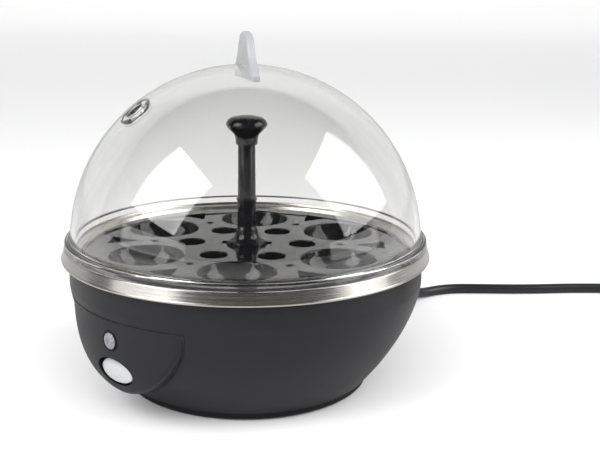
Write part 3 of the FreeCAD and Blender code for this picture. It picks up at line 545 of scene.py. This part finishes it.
class AddLid(Maker, bpy.types.Operator):
    """Blow up the clear dome with its flange, the steam vent and the fin to hold it by"""
    bl_idname = "egg_cooker.lid"
    bl_label = "Lid"

    def build(self, s):
        outer, inner, middle = s.dome_radius, s.dome_radius - s.lid_wall, s.dome_centre
        # the dome is two quarter circles of one centre, joined below by the flange's corners
        low_out = math.asin((s.flange_top - middle) / outer)
        a = np.linspace(math.pi / 2, low_out, 90)[:, None]
        shell = middle * np.array([0, 1]) + outer * np.hstack([np.cos(a), np.sin(a)])
        b = np.linspace(-math.asin((middle - s.lid_seat) / inner), math.pi / 2, 90)[:, None]
        hollow = middle * np.array([0, 1]) + inner * np.hstack([np.cos(b), np.sin(b)])
        lip = [shell[-4], (shell[-1][0], s.flange_top), (s.flange_radius, s.flange_top),
               (s.flange_radius, s.lid_seat), (hollow[0][0], s.lid_seat), hollow[3]]
        corners = rounded(lip, [0, 1.2, 1.0, 0.3, 0.3, 0], 8)
        dome = np.vstack([shell[:-4], corners, hollow[4:]])
        lid = piece("clear_dome", skin("clear_dome", [(revolved(dome, 256), True, False)]), "lid",
                    finish("clear_lid"), ("lid_dome",))

        turn, tilt = s.vent_turn, math.radians(39.8)
        axis = around(turn, math.sin(tilt)) + np.array([0, 0, math.cos(tilt)])
        seat = np.array([0, 0, middle]) + axis * outer
        hole = 7.0
        bore = revolved([(0, -6), (hole, -6), (hole, 4), (0, 4)], 64)
        cut(lid, skin("vent_bore", [(stood(bore, seat, axis), True, False)]))
        ring = [(4.2, -3.0), (4.2, 1.0), (7.9, 1.0), (7.9, -0.5), (6.95, -0.5), (6.95, -3.0)]
        ring = revolved(rounded(ring, [0.4, 0.5, 0.5, 0.2, 0.2, 0.4], 6, True), 96)
        piece("vent_collar", skin("vent_collar", [(stood(ring, seat, axis), True, True)]), "lid",
              finish("clear_lid"), ("steam_vent",))
        self.fin(s)

    def fin(self, s):
        """The fin's face is bounded by a smooth line through its corners. Rows of the grid run inwards
        from that line, round each edge by a quarter circle and on to the middle of the face."""
        top, foot = s.fin_top, 24.0
        low = s.dome_centre + math.sqrt(s.dome_radius ** 2 - foot ** 2) - 3.0
        half = [(-foot, low + 3.6), (-15.5, top - 11), (-9.0, top - 2.3), (0, top)]
        edge = smooth_line(half + [(-x, z) for x, z in half[-2::-1]], 96)
        base = np.linspace((foot, low), (-foot, low), 24)
        line = np.vstack([edge, base])
        tangent = np.roll(line, -1, 0) - np.roll(line, 1, 0)
        outward = np.stack([-tangent[:, 1], tangent[:, 0]], -1)
        outward /= np.linalg.norm(outward, axis=1)[:, None]
        round_r, half_t, centre = 1.1, s.fin_thickness / 2, np.array([0, low + 5.0])
        q = np.linspace(0, math.pi / 2, 7)
        rows = []
        for inset, y in [(round_r * (1 - math.sin(v)), -(half_t - round_r) - round_r * math.cos(v)) for v in q]:
            rows.append((line - outward * inset, y))
        rows += [(xz, -y) for xz, y in reversed(rows)]
        inner = rows[0][0]
        face = [(centre + (inner - centre) * k, rows[0][1]) for k in (0, 0.35, 0.7, 0.9)]
        rows = face + rows + [(xz, -y) for xz, y in reversed(face)]
        grid = np.stack([np.stack([xz[:, 0], np.full(len(xz), y), xz[:, 1]], -1) for xz, y in rows])
        spin = math.radians(s.fin_turn - 90)
        turn = np.array([[math.cos(spin), -math.sin(spin), 0], [math.sin(spin), math.cos(spin), 0], [0, 0, 1]])
        piece("lid_fin", skin("lid_fin", [(grid @ turn.T, False, True)]), "lid",
              finish("tinted_handle"), ("lid_handle",))


class AddTray(Maker, bpy.types.Operator):
    """Put the black egg tray on its ledge, with the post that lifts it"""
    bl_idname = "egg_cooker.tray"
    bl_label = "Egg tray and post"

    def build(self, s):
        merged_copy("egg_holder", "egg_tray", "tray", finish("black_gloss"))
        foot = s.tray_top + 0.1
        low = s.tray_top - 2.0
        shaft = [(0, low - 2.6), (4.7, low - 2.6), (4.7, foot), (9.6, foot), (9.6, foot + 1.3), (6.6, foot + 2.6),
                 (5.3, foot + 4.8), (5.0, foot + 7.2), (4.5, foot + 8.2), (4.35, foot + 20.4), (4.9, foot + 20.8),
                 (4.9, foot + 21.4), (4.2, foot + 21.8), (4.0, foot + 48.0), (0, foot + 48.0)]
        radii = [0, 0.4, 0.1, 0.1, 0.5, 2.0, 2.0, 1.0, 0.5, 0.3, 0.25, 0.25, 0.3, 0.3, 0]
        turned = revolved(rounded(shaft, radii, 6), 96)
        x, y, z = 11.1, 2.3, (low - 2.6, low - 0.3)
        bar = rounded([(-x, -y), (x, -y), (x, y), (-x, y)], 0.8, 6, True)
        levels = [(0, z[0]), (0.97, z[0]), (1, z[0] + 0.3), (1, z[1] - 0.3), (0.97, z[1]), (0, z[1])]
        spin = math.radians(40.0 - 60.0)
        turn = np.array([[math.cos(spin), math.sin(spin)], [-math.sin(spin), math.cos(spin)]])
        lugs = np.stack([np.hstack([bar @ turn * k, np.full((len(bar), 1), h)]) for k, h in levels])
        piece("lifting_shaft", skin("lifting_shaft", [(turned, True, False), (lugs, False, True)]), "lifting_post",
              finish("black_gloss"), ("post_shaft",))
        base = foot + 47.0
        cap = [(4.0, base + 1.0), (4.0, base), (5.1, base), (5.1, base + 1.6)]
        rise = smooth_line([(5.1, base + 1.6), (5.8, base + 4.4), (8.4, base + 7.2), (9.6, base + 9.6),
                            (7.6, base + 12.2), (3.6, base + 13.3), (0, base + 13.6)], 48)
        cap = np.vstack([[(0, base + 1.0)], rounded(cap, [0, 0.1, 0.3, 0], 4), rise])
        piece("lifting_knob", skin("lifting_knob", [(revolved(cap, 96), True, False)]), "lifting_post",
              finish("black_gloss"), ("post_knob",))


class AddPan(Maker, bpy.types.Operator):
    """Spin the steel water pan and the trim band round its rim"""
    bl_idname = "egg_cooker.pan"
    bl_label = "Water pan and band"

    def build(self, s):
        t, top, ledge, floor = 0.8, 66.3, 62.5, 44.0
        pan = [(0, floor - t), (58, floor - t), (66.0, floor + 4.4), (71.6, ledge - 3), (73.4, ledge - t),
               (77.9, ledge - t), (79.5, top - t), (84.85, top - t), (84.85, top), (79.2, top), (77.2, ledge),
               (72.8, ledge), (70.8, ledge - 2.6), (65.2, floor + 5.4), (58, floor), (0, floor)]
        radii = [0, 7, 6, 1.2, 1.2, 0.6, 1.0, 0.1, 0.1, 0.8, 0.8, 1.0, 1.0, 6, 6, 0]
        piece("water_bowl", skin("water_bowl", [(revolved(rounded(pan, radii, 6), 192), True, False)]), "base",
              finish("pan_steel"), ("water_pan",))
        r, low, high = 86.2, 61.5, 67.4
        band = [(r - 1.2, low), (r, low), (r, low + 0.9), (r - 0.3, low + 1.2), (r - 1.35, high - 0.4),
                (r - 1.5, high), (r - 2.2, high), (r - 2.0, high - 1.0), (r - 1.0, low + 0.8)]
        radii = [0.1, 0.45, 0.25, 0.2, 0.3, 0.3, 0.2, 0.2, 0.1]
        piece("steel_band", skin("steel_band", [(revolved(rounded(band, radii, 6, True), 256), True, True)]), "base",
              finish("band_steel"), ("trim_band",))


def bowl_reach(s, z):
    """Radius of the bowl at a height: straight above, then one quarter of a superellipse."""
    depth = np.maximum(0.0, s.bowl_start - np.asarray(z, float)) / s.bowl_drop
    return s.bowl_radius * (1 - depth ** BOWL_POWER) ** (1 / BOWL_POWER)


def housing_reach(s, z):
    """Radius of the housing's front face at a height, a squarer superellipse."""
    depth = np.maximum(0.0, s.housing_top + 1.5 - np.asarray(z, float)) / HOUSING_DROP
    return s.housing_radius * (1 - depth ** HOUSING_POWER) ** (1 / HOUSING_POWER)


def housing_line(s, y, inset=0.0):
    """The housing's outline at a depth y for each of its points: a level upper edge, and below it half
    a superellipse whose width, drop and squareness change evenly with y."""
    a = np.concatenate([np.linspace(0, math.pi, ARC_POINTS), np.zeros(TOP_POINTS)])
    k = (ROOT_Y - y) / OUT_STEP
    wide, deep, power = (start + change * k for start, change in zip(ROOT_OUTLINE, OUTLINE_CHANGE))
    wide, deep = wide - inset, deep - inset
    x = -wide * np.sign(np.cos(a)) * np.abs(np.cos(a)) ** (2 / power)
    z = s.housing_top - deep * np.abs(np.sin(a)) ** (2 / power)
    back = np.concatenate([np.ones(ARC_POINTS), np.linspace(1, -1, TOP_POINTS + 2)[1:-1]])
    x = np.where(np.arange(len(a)) < ARC_POINTS, x, back * wide)
    return x, z


def housing_edge(s, reach, inset=0.0):
    """Where the outline meets a surface of revolution: a first guess of the depth gives the outline, the
    outline gives the depth on the surface, and each answer is put back in until it settles."""
    y = np.full(ARC_POINTS + TOP_POINTS, -78.0)
    for _ in range(12):
        x, z = housing_line(s, y, inset)
        y = -np.sqrt(np.maximum(reach(s, z) ** 2 - x ** 2, 1.0))
    return x, y, z


def oval_block(s, gap, front, back):
    """A closed block as wide and high as the button with a gap all round, between two depths."""
    t = np.linspace(0, 2 * np.pi, 96, endpoint=False)
    x, z = (s.button_width / 2 + gap) * np.cos(t), (s.button_height / 2 + gap) * np.sin(t)
    return np.stack([np.stack([x * k, np.full(96, y), s.button_level + z * k], -1)
                     for k, y in ((0, front), (1, front), (1, back), (0, back))])


class AddBody(Maker, bpy.types.Operator):
    """Mould the charcoal bowl, the control housing on its front and the small lugs"""
    bl_idname = "egg_cooker.body"
    bl_label = "Body"

    def build(self, s):
        a = np.linspace(0, math.asin(((s.bowl_start - FOOT_LEVEL) / s.bowl_drop) ** (BOWL_POWER / 2)), 72)
        curve = np.stack([s.bowl_radius * np.cos(a) ** (2 / BOWL_POWER),
                          s.bowl_start - s.bowl_drop * np.sin(a) ** (2 / BOWL_POWER)], -1)
        inside = curve[::-1] - [WALL, 0]
        rim, thick = 50, 2
        foot = [(curve[-1][0] - 1.0, FOOT_LEVEL), (rim, FOOT_LEVEL), (rim, FOOT_LEVEL + thick),
                (inside[0][0] - 2, FOOT_LEVEL + thick)]
        upper = rounded([(s.bowl_radius - WALL, s.bowl_top - 4), (s.bowl_radius - WALL, s.bowl_top),
                         (s.bowl_radius, s.bowl_top), (s.bowl_radius, s.bowl_top - 4)], [0, 0.4, 0.8, 0], 6)
        profile = np.vstack([upper, curve, foot, inside[3:]])
        bowl = piece("moulded_bowl", skin("moulded_bowl", [(revolved(profile, 256), True, True)]), "base",
                     finish("charcoal_satin"), ("body_shell",))
        cut(bowl, skin("button_way", [(oval_block(s, 3.0, -95, -60), False, True)]))
        merged_copy("side_lugs", "carrying_lugs", "base", finish("charcoal_dark"))
        self.housing(s)

    def housing(self, s):
        """Rows run from the back along the sides, round the front edge by a quarter ellipse, then over
        the curved face to its middle, so that one closed grid makes the whole housing."""
        x, y, z = housing_edge(s, housing_reach)
        edge = np.stack([x, y, z], -1)
        rows = []
        middle = np.array([0, 28.0])
        root = np.full(len(x), ROOT_Y)
        bx, bz = housing_line(s, root)
        for k in (0.0, 0.5, 1.0):
            rows.append(np.stack([bx * k, root, middle[1] + (bz - middle[1]) * k], -1))
        soft = 1.6
        for k in np.linspace(0.1, 1, 12):
            yy = ROOT_Y + (y - ROOT_Y + soft) * k
            sx, sz = housing_line(s, yy)
            rows.append(np.stack([sx, yy, sz], -1))
        side = rows[-1] - edge
        near = np.stack([x, z], -1) - middle
        near = middle + near * (1 - soft / np.linalg.norm(near, axis=1))[:, None]

        def on_face(at):
            """Points of the curved face that lie straight behind flat points (across, height)."""
            return np.stack([at[:, 0], -np.sqrt(housing_reach(s, at[:, 1]) ** 2 - at[:, 0] ** 2), at[:, 1]], -1)

        face = on_face(near) - edge
        level = np.arange(len(x)) >= ARC_POINTS   # the upper edge stays crisp against the bowl
        face[level, 2] *= 0.2
        for v in np.linspace(0, math.pi / 2, 8)[1:]:
            rows.append(edge + side * (1 - math.sin(v)) + face * (1 - math.cos(v)))
        rim = np.stack([rows[-1][:, 0], rows[-1][:, 2]], -1)
        for k in np.linspace(1, 0, 28)[1:]:
            rows.append(on_face(middle + (rim - middle) * k))
        housing = piece("control_pod", skin("control_pod", [(np.stack(rows), False, True)]), "base",
                        finish("charcoal_satin"), ("control_housing",))
        cut(housing, skin("button_well", [(oval_block(s, 0.9, -95, -71), False, True)]))
        lens_hole = 4.65
        bore = revolved([(0, -13), (lens_hole, -13), (lens_hole, 13), (0, 13)], 64)
        cut(housing, skin("lens_well", [(stood(bore, (0, -90, s.lens_level), (0, 1, 0)), True, False)]))

        # a near-black strip, just proud of the surface, is painted shadow along the joint where the housing meets the
        # bowl
        proud = 0.6
        x, y, z = housing_edge(s, lambda s, z: bowl_reach(s, z) + 0.15, -proud)
        strip = [np.stack([x, y, z], -1)]
        for k in (0.5, 0.0):
            yy = ROOT_Y + (y - ROOT_Y) * k
            sx, sz = housing_line(s, yy, -proud)
            strip.append(np.stack([sx, yy, sz], -1))
        piece("painted_joint_shadow", skin("painted_joint_shadow", [(np.stack(strip), False, True)]), "base",
              finish("seam_shadow"))


class AddControls(Maker, bpy.types.Operator):
    """Fit the oval power button and the round indicator lens"""
    bl_idname = "egg_cooker.controls"
    bl_label = "Button and lamp"

    def build(self, s):
        t = np.linspace(0, 2 * np.pi, BUTTON_POINTS, endpoint=False)
        wide, high = s.button_width / 2, s.button_height / 2
        back, front = -73.6, -79.2
        # rows shrink the oval towards its middle; the face is part of a large sphere and its edge is rounded
        rows = [(0.0, back), (1.0, back), (1.0, front + 1.0)]
        rows += [(1 - 0.10 * (1 - math.cos(v)), front + 1.0 - 0.8 * math.sin(v))
                 for v in np.linspace(0, math.pi / 2, 7)[1:]]
        grid = [np.stack([wide * q * np.cos(t), np.full(BUTTON_POINTS, y), s.button_level + high * q * np.sin(t)], -1)
                for q, y in rows]
        # a raised ring, open at its top, and a short bar in the gap mark the power button
        for q in np.linspace(0.9, 0, 48)[1:]:
            x, z = wide * q * np.cos(t), high * q * np.sin(t)
            rise = 1.1 * (0.81 - q * q)
            ring = np.clip(1 - np.abs(np.hypot(x, z) - 2.3) / 0.32, 0, 1) * (np.abs(np.arctan2(x, z)) > 0.55)
            bar = np.clip(1 - np.abs(x) / 0.3, 0, 1) * (z > 0.4) * (z < 3.0)
            grid.append(np.stack([x, front + 0.2 - rise - 0.18 * np.maximum(ring, bar), s.button_level + z], -1))
        piece("start_button", skin("start_button", [(np.stack(grid), False, True)], 50), "button",
              finish("button_silver"), ("power_button",))
        face = float(housing_reach(s, s.lens_level))
        # a near-black ring fills the gap round the lens: painted shadow, in the seam shadow finish
        gap_shadow_ring = rounded([(3.65, -2.5), (3.65, 0.3), (4.6, 0.3), (4.6, -2.5)], [0.1, 0.2, 0.3, 0.1], 5, True)
        gap_shadow_ring = stood(revolved(gap_shadow_ring, 64), (0, -face, s.lens_level), (0, -1, 0))
        piece("lens_gap_shadow", skin("lens_gap_shadow", [(gap_shadow_ring, True, True)]), "base", finish("seam_shadow"))
        # the lens is a shallow dome whose face is pressed with a ring of small facets
        lens_r, rings, spokes = 3.6, 24, 72
        q = np.linspace(0, 1, rings)
        r = lens_r * q
        turn = np.linspace(0, 2 * np.pi, spokes, endpoint=False)[:, None]
        bumps = 0.2 * np.sin(9 * turn) * np.sin(np.pi * q * 2) ** 2
        h = 0.5 + 1.2 * (1 - q ** 2) + bumps
        lens = np.stack([r * np.cos(turn), r * np.sin(turn), np.broadcast_to(h, (spokes, rings))], -1)
        back = -3.0
        skirt = np.stack([np.stack([lens_r * np.cos(turn[:, 0]), lens_r * np.sin(turn[:, 0]), np.full(spokes, v)], -1)
                          for v in (0.5, -1.0, back)], 1)
        close = np.stack([np.zeros(spokes), np.zeros(spokes), np.full(spokes, back)], -1)[:, None]
        lens = np.concatenate([lens, skirt, close], 1)
        lens = stood(lens, (0, -face + 0.2, s.lens_level), (0, -1, 0))
        piece("lamp_lens", skin("lamp_lens", [(lens, True, False)]), "base", finish("lens_clear"),
              ("indicator_lens",))


class AddInside(Maker, bpy.types.Operator):
    """Give every other part of the frame the finish of its slot"""
    bl_idname = "egg_cooker.inside"
    bl_label = "Remaining parts"

    def build(self, s):
        for entry in frame["record"]["subparts"]:
            node = frame["nodes"][entry["node"]]
            node.data.materials.clear()
            node.data.materials.append(finish(entry["material_slot"]))


class AddStage(Maker, bpy.types.Operator):
    """Lay the pale floor and set up two large soft lights"""
    bl_idname = "egg_cooker.stage"
    bl_label = "Floor and lights"

    def build(self, s):
        shades = bpy.context.scene.egg_cooker_shades
        # the card lies flat, then bends up behind the object in a quarter circle and goes on straight
        bend, far, tall, wide = 900.0, 2400.0, 4500.0, 9000.0
        v = np.linspace(0, math.pi / 2, 24)
        along = np.concatenate([[-wide, -1000, 0, 1000], far + bend * np.sin(v), [far + bend]])
        up = np.concatenate([np.zeros(4), bend * (1 - np.cos(v)), [tall]])
        across = np.linspace(-wide, wide, 13)[:, None]
        level = [np.broadcast_to(a, (13, len(along))) for a in (across, along[None], up[None])]
        spin = math.radians(45)
        card = np.stack([level[0] * math.cos(spin) - level[1] * math.sin(spin),
                         level[0] * math.sin(spin) + level[1] * math.cos(spin), level[2]], -1)
        mesh = skin("floor", [(card, False, False)])
        mesh.flip_normals()
        floor = bpy.data.objects.new("floor", mesh)
        bpy.context.scene.collection.objects.link(floor)
        material, tree, shader, place = new_finish("Card, matt white", tuple(shades.floor), Roughness=0.7)
        varied(tree, shader, "Roughness", grain(tree, shader, place, 2.0, 0.01, 0.2), 0.65, 0.75)
        # reflections of the card are toned down, as if the room began a little way out
        rays = add(tree, "ShaderNodeLightPath").outputs
        mirrored = add(tree, "ShaderNodeMath", {0: rays["Is Glossy Ray"], 1: rays["Is Transmission Ray"]},
                       operation="SUBTRACT", use_clamp=True).outputs[0]
        varied(tree, shader, "Base Color", mirrored, tuple(shades.floor), linear("#c4c4c4"))
        floor.data.materials.append(material)
        self.light("left_box", (-0.18, -0.77, 0.62), (0.58, -0.26, -0.11), (0.235, 0.313, 0.536), 6.4)
        self.light("right_box", (0.64, 0.47, 0.55), (0.485, -0.55, -0.06), (-0.217, -0.28, 0.63), 6.0)
        self.light("left_strip", (-0.23, -0.86, 0.14), (0.72, -0.19, 0), (0, 0, 0.17), 0.55)
        self.light("right_strip", (0.815, 0.38, 0.10), (-0.254, 0.544, 0), (0, 0, 0.16), 0.45)
        fill = bpy.data.lights.new("ceiling", "SUN")
        fill.energy, fill.angle = 2.55, math.radians(80)
        ceiling = bpy.data.objects.new("ceiling", fill)
        ceiling.rotation_euler = (math.radians(45), 0, math.radians(45))
        ceiling.visible_glossy = ceiling.visible_transmission = False
        bpy.context.scene.collection.objects.link(ceiling)
        world = bpy.data.worlds.new("room")
        world.use_nodes = True
        tree = world.node_tree
        tree.nodes.clear()
        # the room gives little light, but looks pale where the card ends
        seen = add(tree, "ShaderNodeLightPath").outputs["Is Camera Ray"]
        level = add(tree, "ShaderNodeMapRange", {0: seen, 3: 0.06, 4: 0.9}).outputs[0]
        glow = add(tree, "ShaderNodeBackground", {"Color": (1, 1, 1, 1), "Strength": level})
        add(tree, "ShaderNodeOutputWorld", {"Surface": glow.outputs[0]})
        bpy.context.scene.world = world
        bpy.context.scene.view_settings.view_transform = "Standard"

    def light(self, name, middle, across, upward, power):
        """A rectangular lamp that lies along two directions and shines towards the object."""
        across, upward = Vector(across), Vector(upward)
        lamp = bpy.data.lights.new(name, "AREA")
        lamp.shape, lamp.size, lamp.size_y, lamp.energy = "RECTANGLE", across.length, upward.length, power
        x = across.normalized()
        z = x.cross(upward).normalized()
        z = z if z.dot(Vector(middle)) > 0 else -z
        y = z.cross(x)
        thing = bpy.data.objects.new(name, lamp)
        thing.matrix_world = Matrix((x, y, z)).transposed().to_4x4()
        thing.matrix_world.translation = Vector(middle)
        thing.visible_camera = False
        bpy.context.scene.collection.objects.link(thing)


MAKERS = (AddCamera, AddCord, AddInside, AddLid, AddTray, AddPan, AddBody, AddControls, AddStage)


class EggCookerPanel(bpy.types.Panel):
    """Sizes, colours and builders of the egg cooker"""
    bl_idname = "VIEW3D_PT_egg_cooker"
    bl_label = "Egg cooker"
    bl_space_type = "VIEW_3D"
    bl_region_type = "UI"
    bl_category = "Egg cooker"

    def draw(self, context):
        for maker in MAKERS:
            self.layout.operator(maker.bl_idname)
        for group in (context.scene.egg_cooker_sizes, context.scene.egg_cooker_shades):
            box = self.layout.box()
            for key in group.__annotations__:
                box.prop(group, key)


CLASSES = (CookerSizes, CookerShades, *MAKERS, EggCookerPanel)


def register():
    for each in CLASSES:
        bpy.utils.register_class(each)
    bpy.types.Scene.egg_cooker_sizes = PointerProperty(type=CookerSizes)
    bpy.types.Scene.egg_cooker_shades = PointerProperty(type=CookerShades)


def unregister():
    del bpy.types.Scene.egg_cooker_shades
    del bpy.types.Scene.egg_cooker_sizes
    for each in reversed(CLASSES):
        bpy.utils.unregister_class(each)


def main():
    register()
    for maker in MAKERS:
        group, name = maker.bl_idname.split(".")
        getattr(getattr(bpy.ops, group), name)()


if __name__ == "__main__":
    main()
